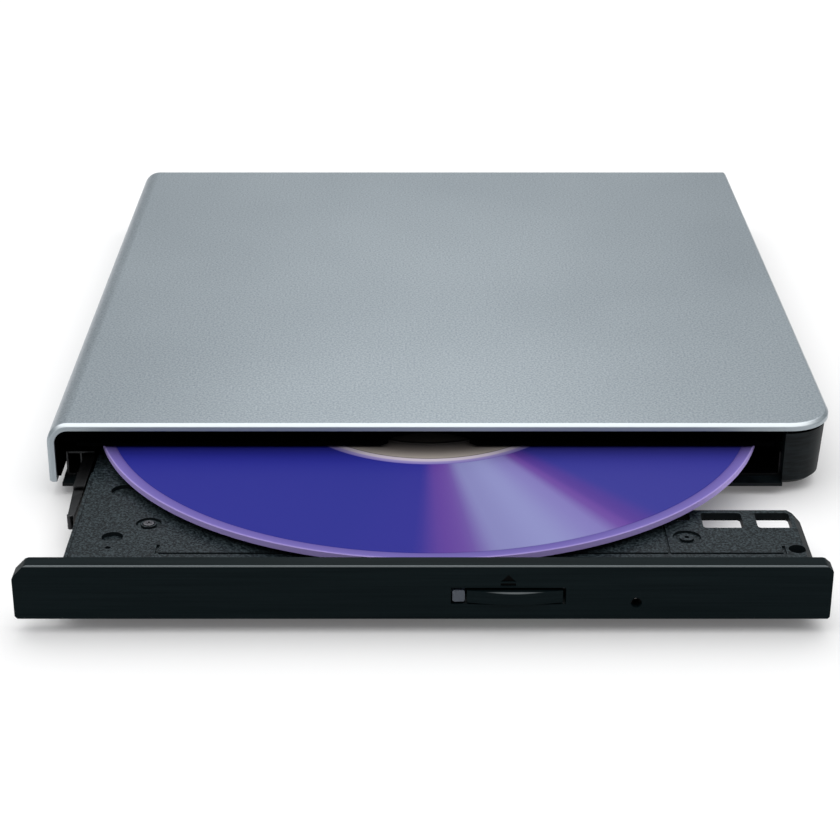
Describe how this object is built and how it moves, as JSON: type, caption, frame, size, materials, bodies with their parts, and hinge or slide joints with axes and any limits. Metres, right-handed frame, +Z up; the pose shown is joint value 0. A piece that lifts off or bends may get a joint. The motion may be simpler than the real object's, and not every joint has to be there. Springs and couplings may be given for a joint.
{
  "type": "external optical disc drive",
  "caption": "Flat external optical disc drive with a silver cover, black case, slide-out tray on telescopic rails, disc on its spindle, laser pickup sled, eject button and latch.",
  "frame": {"origin": "centre of the footprint with the tray at its rest extension, on the plane that the rubber feet stand on", "axes": "+Z up, +Y towards the rear wall with the USB socket, so the tray comes out towards -Y, +X to the right seen from the front"},
  "size_m": [0.138, 0.1926, 0.014],
  "materials": {
    "silver_paint": "fine metallic satin paint with polished bevel",
    "case_black": "fine-textured black moulded plastic",
    "bezel_black": "satin black moulded plastic with fine horizontal lines",
    "tray_grey": "spark-eroded dark grey moulding",
    "clear_lens": "frosted light guide",
    "rubber_black": "matt",
    "zinc_steel": "zinc-coated sheet",
    "rail_steel": "black-coated pressed steel",
    "bright_steel": "ground and polished",
    "screw_steel": "black-zinc screws",
    "board_green": "solder mask over glass-fibre board",
    "chip_black": "moulded packages",
    "connector_black": "moulded housing",
    "copper_coil": "enamelled winding",
    "natural_plastic": "natural acetal",
    "die_cast": "die-cast, satin",
    "hub_metal": "turned, satin",
    "ribbon": "flat flexible ribbon",
    "disc_face": "violet recording side with a clear rim",
    "lens_glass": "coated aspheric lens",
    "led_body": "water-clear epoxy"
  },
  "bodies": {
    "housing": {"top_cover": "silver_paint", "upper_frame": "case_black", "bottom_case": "case_black", "rubber_feet": "rubber_black", "case_screws": "screw_steel", "base_pan": "rail_steel", "top_shield": "zinc_steel", "left_outer_rail": "rail_steel", "right_outer_rail": "rail_steel", "latch_post": "bright_steel", "main_board": "board_green", "main_board_chips": "chip_black", "drive_connector": "connector_black", "bridge_board": "board_green", "bridge_board_chips": "chip_black", "bridge_connector": "connector_black", "usb_socket": "zinc_steel", "usb_contacts": "connector_black", "board_screws": "screw_steel", "drive_screws": "screw_steel", "flex_cable": "ribbon"},
    "tray": {"tray": "tray_grey", "bezel": "bezel_black", "led_lens": "clear_lens", "front_board": "board_green", "eject_switch": "chip_black", "status_led": "led_body", "tray_underside_cover": "zinc_steel", "tray_screws": "screw_steel", "traverse_plate": "zinc_steel", "damper_grommets": "rubber_black", "traverse_screws": "screw_steel", "spindle_stator": "copper_coil", "main_guide_rod": "bright_steel", "support_guide_rod": "bright_steel", "rod_clamps": "case_black", "sled_motor": "zinc_steel", "screw_bearing": "natural_plastic", "eject_solenoid": "copper_coil", "eject_pusher": "natural_plastic", "pusher_spring": "bright_steel"},
    "rotor": {"spindle_hub": "hub_metal", "hub_pad": "rubber_black", "clamp_claws": "natural_plastic", "disc": "disc_face"},
    "pickup": {"pickup_sled": "die_cast", "laser_module": "copper_coil", "actuator_frame": "rail_steel", "screw_follower": "natural_plastic"},
    "lens": {"lens_holder": "case_black", "objective_lens": "lens_glass"},
    "screw": {"lead_screw": "bright_steel"},
    "plunger": {"solenoid_plunger": "bright_steel"},
    "latch": {"latch_lever": "natural_plastic"},
    "button": {"eject_button": "bezel_black"},
    "left_rail": {"left_rail": "rail_steel"},
    "right_rail": {"right_rail": "rail_steel"}
  },
  "joints": [
    {"name": "tray_slide", "type": "slide", "parent": "housing", "child": "tray", "axis": [0, -1, 0], "range_m": [-0.048, 0.08], "deforming": ["flex_cable"]},
    {"name": "left_rail_slide", "type": "slide", "parent": "housing", "child": "left_rail", "axis": [0, -1, 0], "range_m": [-0.024, 0.04]},
    {"name": "right_rail_slide", "type": "slide", "parent": "housing", "child": "right_rail", "axis": [0, -1, 0], "range_m": [-0.024, 0.04]},
    {"name": "spindle_spin", "type": "hinge", "parent": "tray", "child": "rotor", "pos_m": [-0.002, -0.0277, 0.006], "axis": [0, 0, 1], "continuous": true},
    {"name": "pickup_slide", "type": "slide", "parent": "tray", "child": "pickup", "axis": [-0.7071, 0.7071, 0], "range_m": [-0.018, 0.018]},
    {"name": "lead_screw_spin", "type": "hinge", "parent": "tray", "child": "screw", "pos_m": [-0.02293, -0.03025, 0.00525], "axis": [-0.7071, 0.7071, 0], "range_deg": [-2200, 2200]},
    {"name": "lens_focus", "type": "slide", "parent": "pickup", "child": "lens", "axis": [0, 0, 1], "range_m": [-0.0004, 0.0004], "stiffness_N_per_m": 40},
    {"name": "latch_turn", "type": "hinge", "parent": "tray", "child": "latch", "pos_m": [0.0401, -0.0759, 0.0043], "axis": [0, 0, 1], "range_deg": [0, 13], "stiffness_Nm_per_rad": 0.002},
    {"name": "plunger_slide", "type": "slide", "parent": "tray", "child": "plunger", "axis": [0, 1, 0], "range_m": [-0.00195, 0]},
    {"name": "eject_button_press", "type": "slide", "parent": "tray", "child": "button", "axis": [0, 1, 0], "range_m": [0, 0.0004], "stiffness_N_per_m": 800}
  ],
  "couplings": [
    {"joint": "left_rail_slide", "follows": "tray_slide", "ratio": 0.5},
    {"joint": "right_rail_slide", "follows": "tray_slide", "ratio": 0.5},
    {"joint": "lead_screw_spin", "follows": "pickup_slide", "rad_per_m": -2094.4},
    {"joint": "latch_turn", "follows": "plunger_slide", "rad_per_m": -116.28}
  ]
}
